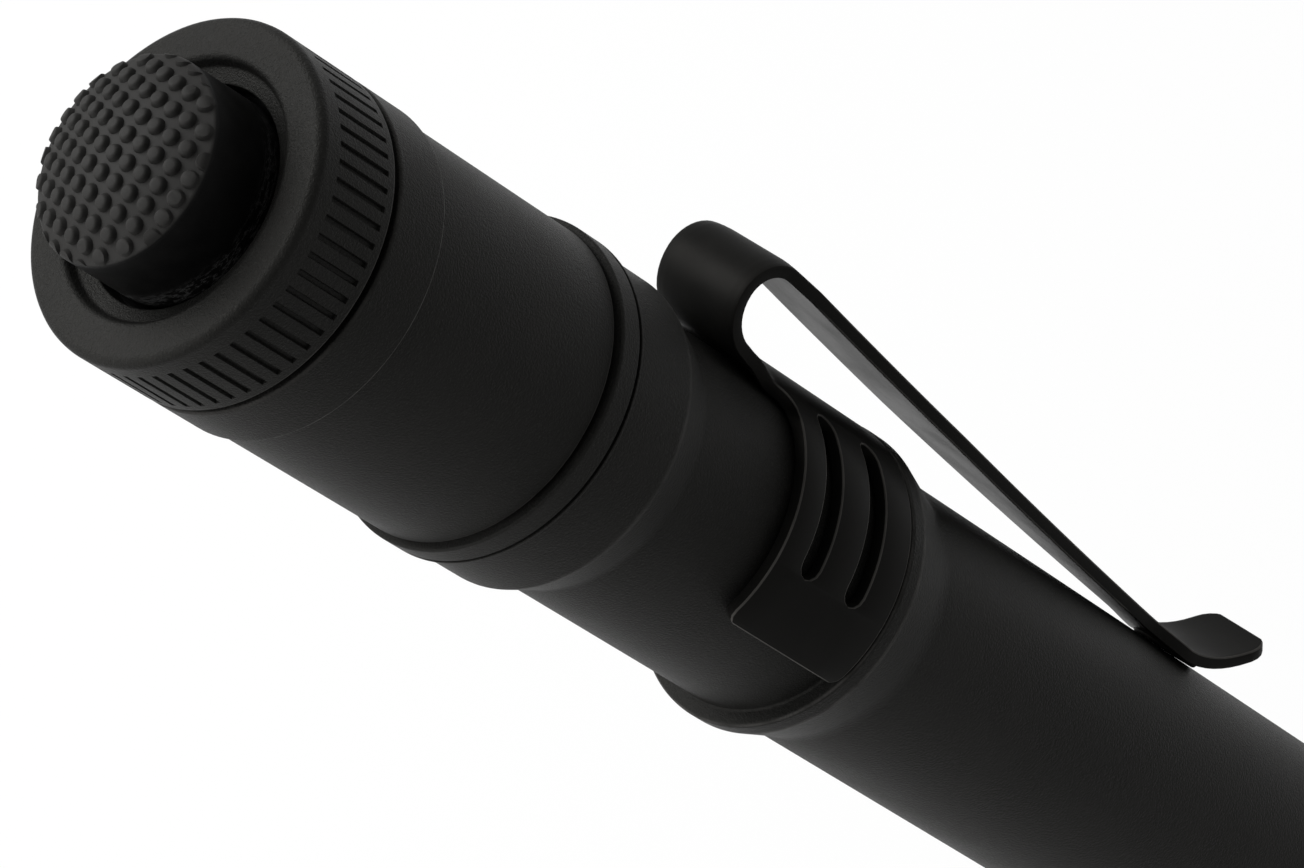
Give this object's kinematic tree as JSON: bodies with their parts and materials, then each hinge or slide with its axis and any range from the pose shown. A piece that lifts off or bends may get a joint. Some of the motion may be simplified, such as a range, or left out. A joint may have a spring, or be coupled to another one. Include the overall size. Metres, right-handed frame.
{
  "type": "penlight",
  "caption": "Slim black penlight for AAA cells, with a rubber push button at the tail, a screw-on tail cap, a sprung pocket clip around a neck and a lens head.",
  "frame": {"origin": "middle of the bezel's flat front face, on the light's axis", "axes": "+Z along the light's axis from the lens towards the tail button; +X towards the pocket clip"},
  "size_m": [0.0204, 0.0164, 0.1423],
  "materials": {
    "anodised_body": "bead-blasted black anodised",
    "clip_steel": "satin black on spring steel",
    "button_rubber": "matte moulded rubber",
    "seal_rubber": "smooth",
    "switch_plastic": "moulded",
    "plunger_plastic": "moulded",
    "board": "solder mask",
    "lamp_board": "white solder mask",
    "contact_brass": "gold plated",
    "spring_steel": "bright wire",
    "bare_aluminium": "turned",
    "cell_jacket": "plain printed jacket",
    "lamp": "clear dome over phosphor",
    "reflector_metal": "vacuum metallised",
    "window_glass": "clear"
  },
  "bodies": {
    "body": {"body_tube": "anodised_body", "joint_ring": "anodised_body", "cap_seal": "seal_rubber", "rear_cell": "cell_jacket", "front_cell": "cell_jacket", "head_contact": "contact_brass", "driver_board": "board", "heat_sink": "bare_aluminium", "led_board": "lamp_board", "led_emitter": "lamp", "reflector": "reflector_metal", "lens_window": "window_glass", "lens_gasket": "seal_rubber", "head_shell": "anodised_body", "bezel_ring": "anodised_body", "head_seal": "seal_rubber"},
    "cap_carrier": {"battery_spring": "spring_steel"},
    "cap": {"tail_cap": "anodised_body", "tail_ring": "anodised_body", "switch_body": "switch_plastic", "switch_contact": "contact_brass", "switch_board": "board", "retaining_ring": "bare_aluminium", "switch_spring": "spring_steel"},
    "button": {"switch_button": "button_rubber", "switch_plunger": "plunger_plastic"},
    "clip": {"clip_band": "clip_steel"},
    "arm": {"clip_arm": "clip_steel"}
  },
  "joints": [
    {"name": "cap_lift", "type": "slide", "parent": "body", "child": "cap_carrier", "axis": [0, 0, 1], "range_m": [0, 0.005]},
    {"name": "cap_turn", "type": "hinge", "parent": "cap_carrier", "child": "cap", "pos_m": [0, 0, 0.12], "axis": [0, 0, 1], "range_deg": [0, 1800]},
    {"name": "button_press", "type": "slide", "parent": "cap", "child": "button", "axis": [0, 0, -1], "range_m": [0, 0.0012], "stiffness_N_per_m": 200, "deforming": ["switch_spring"]},
    {"name": "clip_turn", "type": "hinge", "parent": "body", "child": "clip", "pos_m": [0, 0, 0.098], "axis": [0, 0, 1], "continuous": true},
    {"name": "clip_flex", "type": "hinge", "parent": "clip", "child": "arm", "pos_m": [0.01218, 0, 0.10584], "axis": [0, -1, 0], "range_deg": [0, 6], "stiffness_Nm_per_rad": 0.08}
  ],
  "couplings": [
    {"joint": "cap_turn", "follows": "cap_lift", "rad_per_m": 6283}
  ]
}
